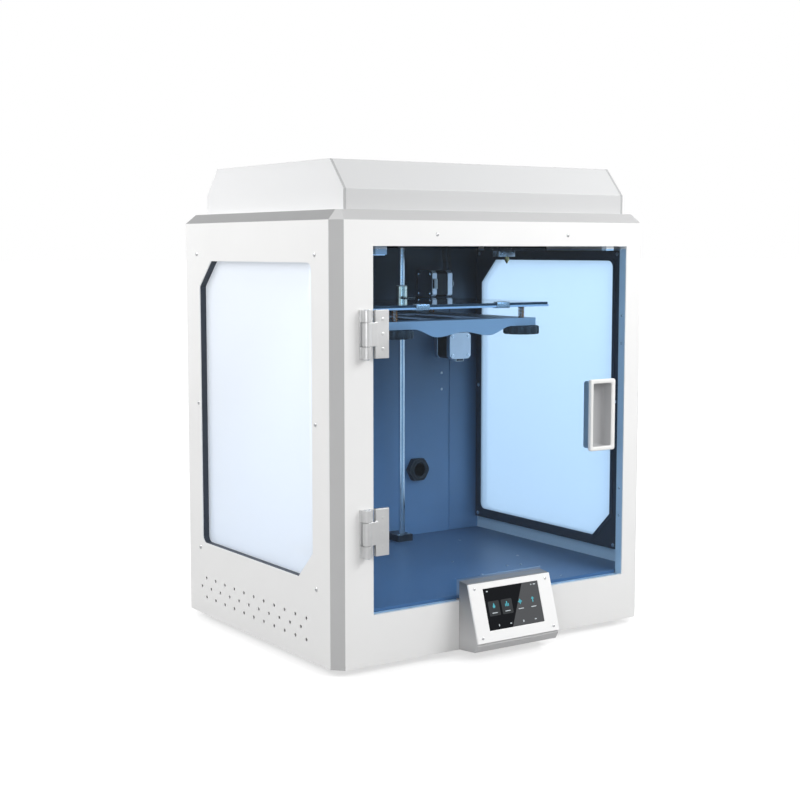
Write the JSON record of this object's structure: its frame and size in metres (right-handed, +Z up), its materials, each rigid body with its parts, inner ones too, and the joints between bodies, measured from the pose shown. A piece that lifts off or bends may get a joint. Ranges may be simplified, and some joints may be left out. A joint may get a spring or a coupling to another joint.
{
  "type": "enclosed 3D printer",
  "caption": "Enclosed filament 3D printer: sheet-steel case, tinted glass door, side windows, lift-off hood, sloped touchscreen, lifting heated bed and moving print head.",
  "frame": {"origin": "middle of the outer box in plan, on the standing surface under the feet", "axes": "+Z up, -Y towards the door (front), +X to the right as seen from the front"},
  "size_m": [0.5324, 0.562, 0.6625],
  "materials": {
    "case_paint": "fine-textured white powder coat",
    "inner_paint": "smooth light grey powder coat",
    "tray_steel": "zinc-plated sheet",
    "foot_rubber": "moulded rubber",
    "gasket": "matt dark plastic",
    "window_acrylic": "lightly frosted acrylic",
    "screw_zinc": "plated steel",
    "circuit_board": "solder mask",
    "black_plastic": "moulded, fine grain",
    "switch_red": "moulded",
    "feeder_alloy": "dark anodised",
    "brass": "turned",
    "lever_red": "anodised red",
    "touch_plastic": "satin white moulding",
    "screen": "black cover glass",
    "hinge_alloy": "satin",
    "rod_steel": "ground and polished",
    "bracket_alloy": "dark anodised",
    "motor": "cast end caps, dark laminations",
    "belt": "toothed",
    "door_glass": "blue tint",
    "pull_plastic": "moulded",
    "support_paint": "satin powder coat",
    "spring_copper": "coppered spring wire",
    "bed_alloy": "dark anodised",
    "bed_glass": "clear build plate",
    "clip_steel": "spring steel",
    "hot_alloy": "turned and milled",
    "hood_acrylic": "frosted white sheet"
  },
  "bodies": {
    "root": {"base_tray": "tray_steel", "feet": "foot_rubber", "front_panel": "case_paint", "left_panel": "case_paint", "right_panel": "case_paint", "back_wall": "inner_paint", "rear_cover": "case_paint", "top_frame": "case_paint", "chamber_floor": "inner_paint", "window_gaskets": "gasket", "window_panes": "window_acrylic", "panel_screws": "screw_zinc", "power_supply": "tray_steel", "mainboard": "circuit_board", "bay_fan_frame": "black_plastic", "power_inlet": "black_plastic", "spool_arm": "black_plastic", "spool_nut": "black_plastic", "feeder_plate": "feeder_alloy", "touch_housing": "touch_plastic", "touch_bezel": "touch_plastic", "touch_screen": "screen", "hinge_frame_leaves": "hinge_alloy", "hinge_pins": "rod_steel", "guide_rods": "rod_steel", "rod_brackets": "bracket_alloy", "frame_motors": "motor", "y_belts": "belt"},
    "door": {"door_glass": "door_glass", "hinge_door_leaves": "hinge_alloy", "door_handle": "pull_plastic"},
    "hood": {"hood_shell": "hood_acrylic", "hood_ends": "hood_acrylic"},
    "lift": {"lift_carriage": "bracket_alloy", "lift_bearings": "brass", "bed_support": "support_paint", "bed_springs": "spring_copper", "heated_bed": "bed_alloy", "glass_plate": "bed_glass", "bed_clips": "clip_steel"},
    "screw": {"lead_screw": "rod_steel"},
    "gantry": {"gantry_blocks": "bracket_alloy", "x_rods": "rod_steel", "x_motor": "motor", "x_belt": "belt"},
    "rear_shaft": {"cross_shaft": "rod_steel"},
    "y_pulley": {"motor_pulley": "hot_alloy"},
    "head": {"head_carriage": "bracket_alloy", "head_shell": "black_plastic", "hot_end": "hot_alloy"},
    "x_wheel": {"x_pulley": "hot_alloy"},
    "head_rotor": {"head_fan": "black_plastic"},
    "bay_rotor": {"bay_fan_rotor": "black_plastic"},
    "switch": {"rocker_switch": "switch_red"},
    "feed_wheel": {"drive_gear": "brass"},
    "feed_lever": {"idler_lever": "lever_red"},
    "knob_fl": {"knob_front_left": "black_plastic"},
    "knob_fr": {"knob_front_right": "black_plastic"},
    "knob_rl": {"knob_rear_left": "black_plastic"},
    "knob_rr": {"knob_rear_right": "black_plastic"}
  },
  "joints": [
    {"name": "door_swing", "type": "hinge", "parent": "root", "child": "door", "pos_m": [-0.222, -0.244, 0.308], "axis": [0, 0, -1], "range_deg": [0, 165]},
    {"name": "hood_lift", "type": "slide", "parent": "root", "child": "hood", "axis": [0, 0, 1], "range_m": [0, 0.15]},
    {"name": "bed_lift", "type": "slide", "parent": "root", "child": "lift", "axis": [0, 0, 1], "range_m": [-0.325, 0.055]},
    {"name": "screw_turn", "type": "hinge", "parent": "root", "child": "screw", "pos_m": [0.004, 0.133, 0.308], "axis": [0, 0, 1], "range_deg": [-2476, 14626]},
    {"name": "gantry_travel", "type": "slide", "parent": "root", "child": "gantry", "axis": [0, 1, 0], "range_m": [-0.056, 0.157]},
    {"name": "rear_shaft_turn", "type": "hinge", "parent": "root", "child": "rear_shaft", "pos_m": [0, 0.151, 0.573], "axis": [1, 0, 0], "range_deg": [-480, 1344]},
    {"name": "y_pulley_turn", "type": "hinge", "parent": "root", "child": "y_pulley", "pos_m": [0.185, 0.139, 0.492], "axis": [1, 0, 0], "range_deg": [-480, 1344]},
    {"name": "head_travel", "type": "slide", "parent": "gantry", "child": "head", "axis": [1, 0, 0], "range_m": [-0.28, 0.02]},
    {"name": "x_pulley_turn", "type": "hinge", "parent": "gantry", "child": "x_wheel", "pos_m": [-0.206, -0.041, 0.573], "axis": [0, 0, 1], "range_deg": [-2396, 173]},
    {"name": "head_fan_turn", "type": "hinge", "parent": "head", "child": "head_rotor", "pos_m": [0.144, -0.108, 0.576], "axis": [0, 1, 0], "continuous": true},
    {"name": "bay_fan_turn", "type": "hinge", "parent": "root", "child": "bay_rotor", "pos_m": [-0.1, 0.183, 0.044], "axis": [0, 1, 0], "continuous": true},
    {"name": "switch_rock", "type": "hinge", "parent": "root", "child": "switch", "pos_m": [-0.166, 0.189, 0.044], "axis": [1, 0, 0], "range_deg": [-16, 0]},
    {"name": "feed_wheel_turn", "type": "hinge", "parent": "root", "child": "feed_wheel", "pos_m": [0.1936, 0.175, 0.391], "axis": [0, 1, 0], "continuous": true},
    {"name": "feed_lever_swing", "type": "hinge", "parent": "root", "child": "feed_lever", "pos_m": [0.2176, 0.174, 0.37], "axis": [0, 1, 0], "range_deg": [0, 8], "stiffness_Nm_per_rad": 1.5, "springref_deg": -11.46},
    {"name": "knob_front_left_turn", "type": "hinge", "parent": "lift", "child": "knob_fl", "pos_m": [-0.1065, -0.136, 0.431], "axis": [0, 0, 1], "range_deg": [-720, 720]},
    {"name": "knob_front_right_turn", "type": "hinge", "parent": "lift", "child": "knob_fr", "pos_m": [0.1145, -0.136, 0.431], "axis": [0, 0, 1], "range_deg": [-720, 720]},
    {"name": "knob_rear_left_turn", "type": "hinge", "parent": "lift", "child": "knob_rl", "pos_m": [-0.1065, 0.088, 0.431], "axis": [0, 0, 1], "range_deg": [-720, 720]},
    {"name": "knob_rear_right_turn", "type": "hinge", "parent": "lift", "child": "knob_rr", "pos_m": [0.1145, 0.088, 0.431], "axis": [0, 0, 1], "range_deg": [-720, 720]}
  ],
  "couplings": [
    {"joint": "screw_turn", "follows": "bed_lift", "rad_per_m": -785.4},
    {"joint": "rear_shaft_turn", "follows": "gantry_travel", "rad_per_m": 149.25},
    {"joint": "y_pulley_turn", "follows": "gantry_travel", "rad_per_m": 149.25},
    {"joint": "x_pulley_turn", "follows": "head_travel", "rad_per_m": 149.25}
  ]
}
